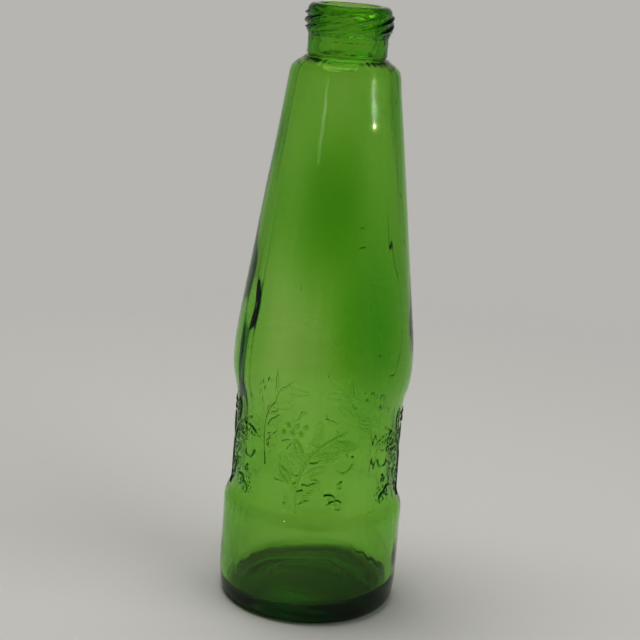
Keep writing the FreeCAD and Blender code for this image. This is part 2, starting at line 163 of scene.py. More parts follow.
@dataclass(frozen=True)
class BottleGlass:
    """Machine-made soda-lime glass coloured green with chromium and iron.

    It is clear right through with no haze, so the colour comes only from how much glass the light
    has crossed: pale where one thin wall shows, deep green at the edges and in the thick base.
    """

    name: str = "soda_lime_glass_emerald_blown"
    refraction: float = 1.52
    roughness: float = 0.012
    absorbed_per_metre: tuple[float, float, float] = (212.0, 74.0, 430.0)
    dimple_mm: float = 2.6
    dimple_depth_mm: float = 0.003
    dimple_detail: float = 2.0
    dimple_roughness: float = 0.45
    wrinkle_mm: float = 0.9
    wrinkle_depth_mm: float = 0.035
    wrinkle_detail: float = 3.0
    wrinkle_roughness: float = 0.6
    wrinkle_foot: float = 0.130
    wrinkle_top: float = 0.150

    def mould_skin(self, tree: bpy.types.NodeTree) -> bpy.types.NodeSocket:
        """Faint texture that the cold mould leaves on the skin of the glass.

        Args:
            tree: The material's node tree.

        Returns:
            The normal of the textured skin.
        """
        place = add_node(tree, "ShaderNodeTexCoord")
        # A blow mould leaves shallow dimples a few millimetres across, which make glints waver.
        skin = add_node(
            tree,
            "ShaderNodeTexNoise",
            {
                "Scale": 1 / (self.dimple_mm * MM),
                "Detail": self.dimple_detail,
                "Roughness": self.dimple_roughness,
            },
            {"Vector": place.outputs["Object"]},
        )
        dimples = add_node(
            tree,
            "ShaderNodeBump",
            {"Strength": 1.0, "Distance": self.dimple_depth_mm * MM},
            {"Height": skin.outputs["Fac"]},
        )
        # Under the shoulder and up the neck it is chilled into fine wrinkles that break glints up.
        crease = add_node(
            tree,
            "ShaderNodeTexNoise",
            {
                "Scale": 1 / (self.wrinkle_mm * MM),
                "Detail": self.wrinkle_detail,
                "Roughness": self.wrinkle_roughness,
            },
            {"Vector": place.outputs["Object"]},
        )
        parts = add_node(tree, "ShaderNodeSeparateXYZ", {}, {0: place.outputs["Object"]})
        high = add_node(
            tree,
            "ShaderNodeMapRange",
            {
                "interpolation_type": "SMOOTHSTEP",
                "From Min": self.wrinkle_foot,
                "From Max": self.wrinkle_top,
            },
            {"Value": parts.outputs["Z"]},
        )
        faded = add_node(
            tree,
            "ShaderNodeMath",
            {"operation": "MULTIPLY"},
            {0: crease.outputs["Fac"], 1: high.outputs["Result"]},
        )
        wrinkles = add_node(
            tree,
            "ShaderNodeBump",
            {"Strength": 1.0, "Distance": self.wrinkle_depth_mm * MM},
            {"Height": faded.outputs[0], "Normal": dimples.outputs["Normal"]},
        )
        return wrinkles.outputs["Normal"]

    def material(self) -> bpy.types.Material:
        """Make the glass, with absorption inside it and the mould's texture on its skin.

        Returns:
            The material.
        """
        # Fire-polished green container glass: a sharp clear gloss over a colour with depth.
        made = bpy.data.materials.new(self.name)
        made.use_nodes = True
        tree = made.node_tree
        tree.nodes.clear()
        surface = add_node(
            tree,
            "ShaderNodeBsdfPrincipled",
            {
                "Base Color": (1, 1, 1, 1),
                "Roughness": self.roughness,
                "IOR": self.refraction,
                "Transmission Weight": 1.0,
            },
            {"Normal": self.mould_skin(tree)},
        )
        strongest = max(self.absorbed_per_metre)
        kept = [1 - share / strongest for share in self.absorbed_per_metre]
        body = add_node(
            tree,
            "ShaderNodeVolumeAbsorption",
            {"Color": (*kept, 1.0), "Density": strongest},
        )
        out = add_node(tree, "ShaderNodeOutputMaterial")
        tree.links.new(surface.outputs[0], out.inputs["Surface"])
        tree.links.new(body.outputs[0], out.inputs["Volume"])
        return made


# ---------------------------------------------------------------- raised marks


@dataclass
class MouldSeam:
    """The fine vertical line where the two halves of the blow mould meet."""

    azimuth: float
    foot: float
    top: float
    height: float = 0.2
    width: float = 0.16
    step: float = 0.05
    step_reach: float = 6.0
    foot_run: float = 4.0
    top_run: float = 6.0
    worn_from: float = 122.0
    worn_run: float = 14.0
    worn_share: float = 0.75

    def lift(self, azimuth: Array, radius: Array, height: Array) -> Array:
        """Height of the seam above the wall.

        Args:
            azimuth: Angle from the front in radians.
            radius: Radius of the wall in millimetres.
            height: Height up the bottle in millimetres.

        Returns:
            Lift in millimetres.
        """
        across = turn_between(azimuth, self.azimuth) * radius
        fade = ramp((height - self.foot) / self.foot_run) * ramp((self.top - height) / self.top_run)
        fade = fade * (1 - self.worn_share * ramp((height - self.worn_from) / self.worn_run))
        ragged = 0.75 + 0.25 * np.sin(height * 1.9) * np.sin(height * 0.63 + 1)
        half = 0.5 * (1 + np.tanh(across / self.width)) * bell(across, self.step_reach)
        return fade * (self.height * ragged * bell(across, self.width) - self.step * half)


@dataclass
class WavyFold:
    """A fine fold in the skin where chilled glass from the neck mould meets softer glass."""

    height: float
    azimuth: float
    spread: float
    depth: float
    width: float
    wave: float

    def lift(self, azimuth: Array, height: Array) -> Array:
        """Depth of the fold.

        Args:
            azimuth: Angle from the front in radians.
            height: Height up the bottle in millimetres.

        Returns:
            Lift in millimetres, below zero in the fold.
        """
        off = turn_between(azimuth, self.azimuth)
        middle = self.height + self.wave * np.sin(off * 13) + 0.5 * self.wave * np.sin(off * 37 + 1)
        fade = ramp(2.2 * (1 - np.abs(off) / self.spread))
        return -self.depth * fade * bell(height - middle, self.width)


@dataclass
class MouldRing:
    """A fine raised line right round the bottle where two parts of its mould meet."""

    middle: float
    height: float
    width: float

    def lift(self, along: Array) -> Array:
        """Height of the line above the wall, by the distance along the wall."""
        return self.height * bell(along - self.middle, self.width)


@dataclass
class Thread:
    """Multi-start thread that a twist-off crown grips."""

    foot: float
    top: float
    starts: int = 8
    lead: float = 20.0
    crest: float = 0.75
    crest_flat: float = 0.25
    half_width: float = 0.62
    run_out: float = 0.9

    def lift(self, azimuth: Array, height: Array) -> Array:
        """Height of the thread ridges above the threaded wall.

        Args:
            azimuth: Angle from the front in radians.
            height: Height up the bottle in millimetres.

        Returns:
            Lift in millimetres.
        """
        spacing = self.lead / self.starts
        along = (height - self.foot) - azimuth / (2 * math.pi) * self.lead
        off = (along + spacing / 2) % spacing - spacing / 2
        ridge = ramp(1 + self.crest_flat - np.abs(off) / self.half_width)
        fade = ramp((height - self.foot) / self.run_out) * ramp((self.top - height) / self.run_out)
        return self.crest * ridge * fade


@dataclass
class Knurl:
    """Radial notches in the bearing ring, which keep the hot base off the conveyor."""

    inner: float
    outer: float
    top: float = 1.6
    count: int = 48
    depth: float = 0.14
    inner_run: float = 0.5
    outer_run: float = 0.8
    floor_share: float = 0.3

    def lift(self, azimuth: Array, radius: Array, height: Array) -> Array:
        """Depth of the notches along the outward normal.

        Args:
            azimuth: Angle from the front in radians.
            radius: Radius of the wall in millimetres.
            height: Height up the bottle in millimetres.

        Returns:
            Lift in millimetres, below zero in a notch.
        """
        inner_fade = ramp((radius - self.inner) / self.inner_run)
        band = inner_fade * ramp((self.outer - radius) / self.outer_run)
        low = ramp(self.top - height)
        wave = 0.5 + 0.5 * np.cos(azimuth * self.count)
        return -self.depth * band * low * ramp(wave * (1 + self.floor_share))


@dataclass
class ReliefSprig:
    """One panel of the moulded relief: a stem with leaves, tendrils, berries and stippling."""

    azimuth: float
    middle: float
    radius: float
    hand: Hand
    seed: int
    strength: float
    reach: float = 16.0
    side: float = 0.32
    stem_bend: float = 22.0
    stem_centre: Point = (16.5, -9.5)
    stem_from: float = 118.0
    stem_to: float = 188.0
    stem_steps: int = 26
    stem_half: float = 0.6
    stem_lift: float = 0.5
    tendril_steps: int = 26
    tendril_half: float = 0.42
    tendril_lift: float = 0.42
    leaves: int = 7
    leaf_length: float = 8.4
    leaf_bend: float = 6.0
    leaf_spread: float = 48.0
    leaf_lift: float = 0.4
    leaf_gap: float = 0.9
    vein_pitch: float = 1.5
    berry_rows: int = 2
    berry_columns: int = 3
    berry_radius: float = 0.95
    berry_pitch: float = 2.8
    berry_place: Point = (-10.5, 10.0)
    berry_lift: float = 0.45
    dot_pitch: float = 1.1
    dot_jitter: float = 0.35
    dot_sizes: Point = (0.26, 0.42)
    dot_reach: float = 1.2
    dot_lift: float = 0.2
    dot_patches: tuple[tuple[Point, Point], ...] = (
        ((-8.0, -1.5), (4.4, 4.6)),
        ((3.0, 6.5), (6.5, 2.2)),
        ((8.5, -11.0), (3.2, 2.6)),
    )

    def stem_point(self, degrees: float, out: float = 0.0) -> Array:
        """A point on the stem's curve, or beside it.

        Args:
            degrees: Angle on the stem's arc.
            out: Distance outside the arc in millimetres.

        Returns:
            Distances across and up from the panel's middle in millimetres.
        """
        angle = math.radians(degrees)
        bend = self.stem_bend + out
        across = self.stem_centre[0] + bend * math.cos(angle)
        up = self.stem_centre[1] + bend * math.sin(angle)
        return np.array([across, up])

    def ridge(self, across: Array, up: Array, path: Array, half: float, lift: float) -> Array:
        """A rounded ridge along a path, slimmer and lower towards its end.

        Args:
            across: Distance across the panel in millimetres.
            up: Distance up the panel in millimetres.
            path: Points along the ridge.
            half: Half the ridge's width at its start.
            lift: Height of the ridge at its start.

        Returns:
            Lift in millimetres.
        """
        best = np.zeros_like(across)
        low, high = path.min(axis=0) - half, path.max(axis=0) + half
        near = (across > low[0]) & (across < high[0]) & (up > low[1]) & (up < high[1])
        for step in range(len(path) - 1):
            start, end = path[step], path[step + 1]
            share = step / max(1, len(path) - 2)
            size = half * (1 - 0.4 * share)
            run = end - start
            x, y = across[near] - start[0], up[near] - start[1]
            t = np.clip((x * run[0] + y * run[1]) / (run @ run), 0, 1)
            gap = np.hypot(x - t * run[0], y - t * run[1])
            height = lift * (1 - 0.35 * share) * ramp((size - gap) / min(size, self.side))
            best[near] = np.maximum(best[near], height)
        return best

    def tendril(self, start: Array, heading: float, curl: float, reach: float) -> Array:
        """A tendril that leaves a start and winds up into a curl.

        Args:
            start: Where it begins, across and up from the panel's middle.
            heading: Its direction at the start in degrees.
            curl: How tightly it winds, to the left above zero and to the right below.
            reach: Its length in millimetres.

        Returns:
            Points along the tendril.
        """
        points = [start]
        angle = math.radians(heading)
        for step in range(self.tendril_steps):
            tightened = 0.3 + 2.4 * step / self.tendril_steps
            angle += curl * tightened * 3.4 / self.tendril_steps
            run = np.array([math.cos(angle), math.sin(angle)]) * reach / self.tendril_steps
            points.append(points[-1] + run)
        return np.array(points)

    def leaf(self, across: Array, up: Array, number: int) -> Array:
        """One leaf: a low domed blade with a sharper rim, a midrib and side veins.

        Args:
            across: Distance across the panel in millimetres.
            up: Distance up the panel in millimetres.
            number: Place of the leaf along the stem.

        Returns:
            Lift in millimetres.
        """
        share = (number + 0.5) / self.leaves
        degrees = self.stem_from + (self.stem_to - self.stem_from) * share
        outwards = 1 if number % 2 else -1
        root = self.stem_point(degrees, self.leaf_gap * outwards)
        heading = math.radians(degrees - 90 + self.leaf_spread * outwards)
        run = np.array([math.cos(heading), math.sin(heading)])
        side = np.array([-run[1], run[0]])
        x = (across - root[0]) * run[0] + (up - root[1]) * run[1]
        y = (across - root[0]) * side[0] + (up - root[1]) * side[1]
        y = y - 0.05 * x * (self.leaf_length - x) / self.leaf_length * outwards
        half = self.leaf_length / 2
        away = math.sqrt(self.leaf_bend**2 - half**2)
        inside = np.minimum(
            self.leaf_bend - np.hypot(x - half, y - away),
            self.leaf_bend - np.hypot(x - half, y + away),
        )
        blade = ramp(inside / (1.2 * self.side))
        fork = np.cos((x - np.abs(y) * 1.3) * 2 * math.pi / self.vein_pitch)
        veins = 0.3 * fork * ramp((inside - 0.4) / 0.6)
        rib = 0.5 * bell(y, 0.3) * ramp(inside / 0.8)
        worn = 0.75 + 0.25 * math.sin(number * 2.3 + self.seed)
        return self.leaf_lift * worn * np.clip(blade + veins - rib, 0, None)

    def dots(self, across: Array, up: Array) -> Array:
        """Stippling in three loose patches, a dot every millimetre or so.

        Args:
            across: Distance across the panel in millimetres.
            up: Distance up the panel in millimetres.

        Returns:
            Lift in millimetres.
        """
        rng = np.random.default_rng(self.seed)
        lift = np.zeros_like(across)
        for centre, spread in self.dot_patches:
            columns = int(spread[0] / self.dot_pitch) + 1
            rows = int(spread[1] / self.dot_pitch) + 1
            for column in range(-columns, columns + 1):
                for row in range(-rows, rows + 1):
                    jitter = rng.uniform(-self.dot_jitter, self.dot_jitter, 2)
                    size = rng.uniform(*self.dot_sizes)
                    place = np.array([column + row % 2 * 0.5, row]) * self.dot_pitch + jitter
                    if np.hypot(place[0] / spread[0], place[1] / spread[1]) > 1:
                        continue
                    x, y = centre[0] + place[0], centre[1] + place[1]
                    near = (np.abs(across - x) < self.dot_reach) & (np.abs(up - y) < self.dot_reach)
                    gap = np.hypot(across[near] - x, up[near] - y)
                    lift[near] = np.maximum(lift[near], self.dot_lift * bell(gap, size))
        return lift

    def berries(self, across: Array, up: Array) -> Array:
        """Round berries in staggered rows.

        Args:
            across: Distance across the panel in millimetres.
            up: Distance up the panel in millimetres.

        Returns:
            Lift in millimetres.
        """
        lift = np.zeros_like(across)
        for row in range(self.berry_rows):
            for column in range(self.berry_columns):
                x = self.berry_place[0] + self.berry_pitch * (column + row / 2)
                y = self.berry_place[1] + self.berry_pitch * row * 0.87
                gap = np.hypot(across - x, up - y) / self.berry_radius
                lift = np.maximum(lift, self.berry_lift * ramp(1.3 * (1 - gap)))
        return lift

    def curls(self) -> list[tuple[Array, float, float]]:
        """The tendrils, some from the stem and some loose beside it.

        Returns:
            Each tendril's path, with the share of the full width and height that it has.
        """
        return [
            (self.tendril(self.stem_point(178), 35.0, -1.3, 11.0), 1.0, 1.0),
            (self.tendril(self.stem_point(170), 190.0, 1.5, 7.0), 0.8, 0.9),
            (self.tendril(self.stem_point(163), 205.0, -1.3, 8.0), 0.8, 0.9),
            (self.tendril(self.stem_point(150), -20.0, 1.4, 11.5), 1.1, 1.1),
            (self.tendril(self.stem_point(142), 170.0, 1.6, 7.0), 0.8, 0.9),
            (self.tendril(self.stem_point(134), 175.0, -1.5, 9.0), 0.8, 0.8),
            (self.tendril(self.stem_point(121), -35.0, -1.3, 12.0), 1.1, 1.1),
            (self.tendril(np.array([4.5, -12.0]), 50.0, -1.6, 12.0), 1.1, 1.3),
            (self.tendril(np.array([3.5, -9.0]), 20.0, -1.2, 8.0), 1.0, 1.2),
            (self.tendril(np.array([-1.0, -4.0]), 8.0, -0.9, 7.0), 0.8, 1.0),
            (self.tendril(np.array([11.5, 1.0]), 250.0, -0.6, 7.0), 1.0, 1.3),
            (self.tendril(np.array([8.5, -4.5]), 200.0, 1.2, 5.0), 1.0, 1.2),
            (self.tendril(np.array([-12.5, -5.5]), -15.0, 0.6, 9.0), 0.9, 1.0),
            (self.tendril(np.array([-3.5, -6.0]), 15.0, -1.8, 5.0), 0.9, 1.0),
            (self.tendril(np.array([-9.0, -13.0]), 20.0, 1.4, 6.0), 0.8, 0.8),
            (self.tendril(np.array([-4.0, -12.5]), 60.0, -1.5, 5.0), 0.8, 0.8),
        ]

    def lift(self, azimuth: Array, height: Array) -> Array:
        """Height of this panel's relief above the waist.

        Args:
            azimuth: Angle from the front in radians.
            height: Height up the bottle in millimetres.

        Returns:
            Lift in millimetres.
        """
        across = turn_between(azimuth, self.azimuth) * self.radius * self.hand.value
        up = height - self.middle
        near = (np.abs(across) < self.reach) & (np.abs(up) < self.reach)
        total = np.zeros_like(across)
        if not near.any():
            return total
        x, y = across[near], up[near]
        sweep = np.linspace(self.stem_to + 6, self.stem_from - 8, self.stem_steps)
        stem = np.array([self.stem_point(a) for a in sweep])
        best = self.ridge(x, y, stem, self.stem_half, self.stem_lift)
        for path, width, depth in self.curls():
            half = self.tendril_half * width
            best = np.maximum(best, self.ridge(x, y, path, half, self.tendril_lift * depth))
        for number in range(self.leaves):
            best = np.maximum(best, self.leaf(x, y, number))
        best = np.maximum(best, self.berries(x, y))
        best = np.maximum(best, self.dots(x, y))
        total[near] = best * self.strength
        return total


# ---------------------------------------------------------------- the bottle's wall


@dataclass
class Ripple:
    """Smooth unevenness of blown glass, as a sum of a few waves round and along the bottle."""

    seed: int
    depth: float
    rounds: int
    length: float
    waves: int = 14

    def lift(self, azimuth: Array, height: Array) -> Array:
        """How far the surface stands off its even shape.

        Args:
            azimuth: Angle from the front in radians.
            height: Height up the bottle in millimetres.

        Returns:
            Lift in millimetres, mostly within the depth either way.
        """
        rng = np.random.default_rng(self.seed)
        total = np.zeros(np.broadcast(azimuth, height).shape)
        for _ in range(self.waves):
            turns = rng.integers(0, self.rounds + 1)
            pitch = rng.uniform(-1, 1) * 2 * math.pi / self.length
            phase = rng.uniform(0, 2 * math.pi)
            total += np.cos(turns * azimuth + pitch * height + phase)
        return self.depth * total / math.sqrt(self.waves)


@dataclass
class ThickPatch:
    """A place where the glass has settled thicker, or thinner, inside the wall."""

    degrees: float
    height: float
    spread: float
    reach: float
    depth: float

    def lift(self, azimuth: Array, height: Array) -> Array:
        """How far the inside of the wall stands in, in millimetres."""
        round_it = bell(turn_between(azimuth, math.radians(self.degrees)), self.spread)
        return self.depth * round_it * bell(height - self.height, self.reach)


@dataclass(frozen=True)
class RingSteps:
    """Distances between the mesh's rings in millimetres, finer where the glass has more shape."""

    knurl: float = 0.22
    base: float = 0.5
    relief: float = 0.22
    crease: float = 0.12
    finish: float = 0.17
    shoulder: float = 0.35
    taper: float = 0.9
    lining: float = 1.2
    lining_ends: float = 0.3


@dataclass
class Ring:
    """One ring of the bottle's mesh."""

    radius: float
    height: float
    normal: Point
    count: int
    inside: bool


@dataclass
class Seeds:
    """Small gas bubbles caught in the wall, which glassmakers call seeds."""

    seed: int = 21
    count: int = 16
    rows: int = 7
    columns: int = 12
    sizes: Point = (0.22, 0.46)

    def ball(self, middle: Array, size: float) -> list[Array]:
        """Corners of one ball, from its top down.

        Args:
            middle: Centre in millimetres.
            size: Radius in millimetres.

        Returns:
            The corners in millimetres.
        """
        corners = [middle + [0, 0, size]]
        for row in range(1, self.rows + 1):
            tilt = math.pi * row / (self.rows + 1)
            for column in range(self.columns):
                spin = 2 * math.pi * column / self.columns
                reach = size * math.sin(tilt)
                offset = [reach * math.cos(spin), reach * math.sin(spin), size * math.cos(tilt)]
                corners.append(middle + offset)
        corners.append(middle - [0, 0, size])
        return corners

    def faces(self, start: int) -> list[tuple[int, ...]]:
        """Faces of one ball, which look inwards because the ball is a hole in the glass.

        Args:
            start: Number of the ball's first corner.

        Returns:
            The faces as corner numbers.
        """
        faces: list[tuple[int, ...]] = []
        last = start + self.rows * self.columns + 1
        foot = start + 1 + (self.rows - 1) * self.columns
        for column in range(self.columns):
            after = (column + 1) % self.columns
            faces.append((start, start + 1 + after, start + 1 + column))
            faces.append((last, foot + column, foot + after))
            for row in range(self.rows - 1):
                top = start + 1 + row * self.columns
                under = top + self.columns
                faces.append((top + column, top + after, under + after, under + column))
        return faces


@dataclass
class Bottle:
    """The whole bottle: one blown wall with a moulded base, relief and finish."""

    finish: BottleGlass
    wall: float = 2.6
    bore: float = 8.6
    bore_foot: float = 172.1
    waist_radius: float = 26.0
    waist_foot: float = 39.5
    heel_round: float = 3.4
    heel_side_top: float = 8.0
    bearing_inner: float = 21.4
    bearing_outer: float = 24.6
    bearing_depth: float = 0.5
    push_up: float = 4.2
    floor_height: float = 5.4
    floor_crown: float = 0.8
    floor_radius: float = 23.4
    floor_round: float = 2.4
    floor_lean: float = 1.6
    lean_top: float = 26.0
    settled_run: float = 14.0
    neck_calm: float = 0.35
    mouth_run: float = 3.0
    lip_round: float = 2.0
    lip_inner_round: float = 0.9
    bulge_height: float = 78.0
    shoulder_section: tuple[Point, ...] = (
        (16.2, 168.85),
        (15.2, 169.85),
        (12.9, 171.45),
        (12.22, 172.2),
    )
    shoulder_lining: tuple[Point, ...] = ((9.4, 171.0), (11.6, 169.9), (13.4, 168.7))
    skin_allowance: float = 0.05
    skin_foot: float = 14.0
    skin_run: float = 4.0
    chill_run: float = 2.0
    steps: RingSteps = RingSteps()
    fine: int = 768
    plain: int = 384
    relief_middle: float = 51.5
    relief_turn: float = 72.0
    relief_strength: tuple[float, ...] = (1.5, 1.0, 0.7, 0.7, 1.0)
    relief_band: Point = (34.5, 69.5)
    crease_band: Point = (168.4, 173.4)
    seam_turns: Point = (-52.0, 128.0)
    upper_seam_foot: float = 68.0
    lower_seam_foot: float = 9.0
    patches: tuple[ThickPatch, ...] = (
        ThickPatch(0, 130.0, 0.6, 20.0, 1.9),
        ThickPatch(180, 120.0, 0.7, 20.0, 1.7),
        ThickPatch(36, 95.0, 0.42, 26.0, 1.9),
        ThickPatch(144, 84.0, 0.45, 24.0, 1.9),
        ThickPatch(-35, 92.0, 0.5, 26.0, -0.8),
        ThickPatch(-145, 84.0, 0.5, 26.0, -0.8),
        ThickPatch(-62, 97.0, 0.08, 5.0, 1.3),
        ThickPatch(-72, 84.0, 0.12, 10.0, 0.6),
    )

    def __post_init__(self) -> None:
        """Take the heights and radii that the frame's nodes already hold, and place the marks."""
        self.total = node_top("sealing_lip")
        self.body_radius = node_radius("lower_body")
        self.step_foot = node_top("lower_body")
        self.waist_top = node_top("waist")
        self.bulge_radius = node_radius("bulge")
        self.taper_foot = node_top("bulge")
        self.taper_foot_radius = node_radius("upper_body")
        self.taper_top = node_top("upper_body")
        self.taper_top_radius = node_radius("shoulder")
        self.neck_foot = node_foot("neck")
        self.neck_top = node_top("neck")
        self.neck_radius = node_radius("neck")
        self.finish_radius = node_radius("finish_wall")
        self.lip_foot = node_top("finish_wall")
        self.finish_foot = self.neck_top + 1.2
        self.seam_azimuths = [math.radians(turn) for turn in self.seam_turns]
        self.place_marks()
        self.place_unevenness()

    def place_marks(self) -> None:
        """Place every mark that the mould leaves on the outside."""
        self.relief: list[ReliefSprig] = []
        for order, strength in enumerate(self.relief_strength):
            hand = Hand.MIRRORED if order % 2 else Hand.PLAIN
            turn = math.radians(self.relief_turn * order)
            panel = ReliefSprig(
                turn, self.relief_middle, self.waist_radius, hand, 40 + order, strength
            )
            self.relief.append(panel)
        self.seams = [MouldSeam(a, self.upper_seam_foot, self.taper_top) for a in self.seam_azimuths]
        self.seams += [MouldSeam(a, self.lower_seam_foot, self.step_foot) for a in self.seam_azimuths]
        self.folds = [
            WavyFold(169.2, -0.1, spread=0.42, depth=0.24, width=0.16, wave=0.2),
            WavyFold(172.45, 0.0, spread=20.0, depth=0.75, width=0.34, wave=0.06),
        ]
        seam = "neck_ring_seam"
        seam_lift = node_radius(seam) - self.neck_radius
        seam_middle = (node_foot(seam) + node_top(seam)) / 2
        self.neck_seam = MouldRing(seam_middle, seam_lift, width=0.22)
        self.baffle = MouldRing(node_radius("baffle_ring") - 0.4, height=0.25, width=0.35)
        self.thread = Thread(self.finish_foot + 0.2, self.lip_foot - 0.1)
        self.knurl = Knurl(self.bearing_outer - 0.6, self.bearing_outer + 2.2)

    def place_unevenness(self) -> None:
        """Set how uneven the blown glass is, inside, outside and at the neck."""
        self.inner_ripple = Ripple(seed=5, depth=0.16, rounds=6, length=38.0)
        # Fine upright streaks come from the gob's stretching.
        self.streaks = Ripple(seed=13, depth=0.022, rounds=46, length=900.0, waves=26)
        self.outer_ripple = Ripple(seed=9, depth=0.025, rounds=9, length=22.0)
        # The neck mould chills the first glass that touches it.
        self.chill_marks = Ripple(seed=3, depth=0.03, rounds=40, length=2.6, waves=22)

    def outside(self) -> Array:
        """Section of the outside, from under the base's middle to the top of the lip.

        Returns:
            The section's corners as (radius, height) in millimetres.
        """
        step = self.s_curve(
            (self.body_radius, self.step_foot), (self.waist_radius, self.waist_foot)
        )
        swell = self.s_curve(
            (self.waist_radius, self.waist_top), (self.bulge_radius, self.bulge_height)
        )
        crown = self.bow(
            (self.bulge_radius, self.bulge_height), (self.taper_foot_radius, self.taper_foot)
        )
        dome = self.dome(self.bearing_inner, self.bearing_depth, self.push_up)[::-1]
        heel_middle = (self.bearing_outer, self.heel_round)
        heel = self.quarter(heel_middle, self.heel_round, -90, 0)
        lip_middle = (self.finish_radius - self.lip_round, self.total - self.lip_round)
        lip = self.quarter(lip_middle, self.lip_round, 0, 90)
        return np.vstack(
            [
                dome,
                [(self.bearing_inner + self.bearing_depth, 0.0), (self.bearing_outer, 0.0)],
                heel,
                [(self.body_radius, self.heel_side_top), (self.body_radius, self.step_foot)],
                step,
                swell,
                crown,
                [(self.taper_top_radius, self.taper_top), *self.shoulder_section],
                [(self.neck_radius, self.neck_foot), (self.neck_radius, self.neck_top)],
                [(self.finish_radius, self.finish_foot)],
                lip,
            ]
        )

    def inside(self) -> Array:
        """Section of the inside, from the top of the lip down to the inner floor's middle.

        Returns:
            The section's corners as (radius, height) in millimetres.
        """
        thick = self.wall
        lip_middle = (self.bore + self.lip_inner_round, self.total - self.lip_inner_round)
        lip = self.quarter(lip_middle, self.lip_inner_round, 90, 180)
        step = self.s_curve(
            (self.body_radius - thick, self.step_foot), (self.waist_radius - thick, self.waist_foot)
        )
        swell = self.s_curve(
            (self.waist_radius - thick, self.waist_top),
            (self.bulge_radius - thick, self.bulge_height),
        )
        crown = self.bow(
            (self.bulge_radius - thick, self.bulge_height),
            (self.taper_foot_radius - thick, self.taper_foot),
        )
        corner_middle = (self.floor_radius, self.floor_height + self.floor_round)
        corner = self.quarter(corner_middle, self.floor_round, 0, -90)
        floor = self.dome(self.floor_radius, self.floor_height, self.floor_height + self.floor_crown)
        return np.vstack(
            [
                lip,
                [(self.bore, self.bore_foot), *self.shoulder_lining],
                [(self.taper_top_radius - thick, self.taper_top)],
                crown[::-1],
                swell[::-1],
                step[::-1],
                corner,
                floor,
            ]
        )

    def s_curve(self, start: Point, end: Point) -> Array:
        """Two equal tangent arcs between two upright walls.

        Args:
            start: Lower end as (radius, height).
            end: Upper end as (radius, height).

        Returns:
            Points as (radius, height), from the lower end up.
        """
        t = np.linspace(0, 1, 25)
        rise = end[1] - start[1]
        shift = end[0] - start[0]
        bend = (rise**2 + shift**2) / (4 * abs(shift))
        low = bend - np.sqrt(bend**2 - (np.minimum(t, 0.5) * rise) ** 2)
        high = bend - np.sqrt(bend**2 - (np.minimum(1 - t, 0.5) * rise) ** 2)
        across = np.where(t <= 0.5, low, abs(shift) - high)
        return np.column_stack([start[0] + math.copysign(1, shift) * across, start[1] + t * rise])

    def bow(self, start: Point, end: Point) -> Array:
        """An arc that leaves its start upright and leans in.

        Args:
            start: Lower end as (radius, height).
            end: Upper end as (radius, height).

        Returns:
            Points as (radius, height), from the lower end up.
        """
        climb = np.linspace(0, 1, 13) * (end[1] - start[1])
        rise = end[1] - start[1]
        shift = start[0] - end[0]
        bend = (rise**2 + shift**2) / (2 * shift)
        return np.column_stack([start[0] - bend + np.sqrt(bend**2 - climb**2), start[1] + climb])

    def quarter(self, middle: Point, bend: float, start: float, end: float) -> Array:
        """An arc about a middle between two angles in degrees."""
        angles = np.radians(np.linspace(start, end, 15))
        return np.column_stack([middle[0] + bend * np.cos(angles), middle[1] + bend * np.sin(angles)])

    def dome(self, radius: float, edge: float, crown: float) -> Array:
        """A shallow dome.

        Args:
            radius: Radius at its edge.
            edge: Height of its edge.
            crown: Height of its middle.

        Returns:
            Points as (radius, height), from the edge in to the axis.
        """
        rise = crown - edge
        bend = (radius**2 + rise**2) / (2 * abs(rise))
        across = np.linspace(radius, 0, 24)
        lift = np.sqrt(bend**2 - across**2) - (bend - abs(rise))
        return np.column_stack([across, edge + math.copysign(1, rise) * lift])

    def smooth(self, points: Array, softness: Callable[[Array], Array]) -> Array:
        """Resample a section evenly and melt its corners, as cooling glass does.

        Args:
            points: The section's corners, with both ends on the axis.
            softness: Gives the melting length in millimetres at each sampled point.

        Returns:
            Evenly spaced points of the softened section.
        """
        gap = 0.06
        apart = np.hypot(*np.diff(points, axis=0).T) > 1e-6
        points = points[np.r_[True, apart]]
        along = np.r_[0, np.cumsum(np.hypot(*np.diff(points, axis=0).T))]
        even = np.arange(0, along[-1], gap)
        section = np.column_stack([np.interp(even, along, points[:, k]) for k in (0, 1)])
        wide = softness(section)
        result = section.copy()
        for size in np.unique(wide):
            reach = int(3 * size / gap)
            kernel = np.exp(-0.5 * (np.arange(-reach, reach + 1) * gap / size) ** 2)
            kernel /= kernel.sum()
            before = section[reach:0:-1] * [-1, 1]
            beyond = section[-2 : -reach - 2 : -1] * [-1, 1]
            mirrored = np.vstack([before, section, beyond])
            soft = np.column_stack([np.convolve(mirrored[:, k], kernel, "valid") for k in (0, 1)])
            mask = wide == size
            result[mask] = soft[mask]
        return result

    def softness(self, section: Array) -> Array:
        """Melting length along the section: crisp at the finish, soft elsewhere.

        Args:
            section: Points as (radius, height).

        Returns:
            A length in millimetres for each point.
        """
        crisp, soft = 0.3, 0.5
        height = section[:, 1]
        neck_ring_part = height > self.neck_foot - 2
        lip = height > self.total - 1.6
        bearing = height < 1.0
        melted = np.full(len(section), soft)
        melted[neck_ring_part] = crisp
        melted[lip] = soft
        melted[bearing] = crisp
        return melted

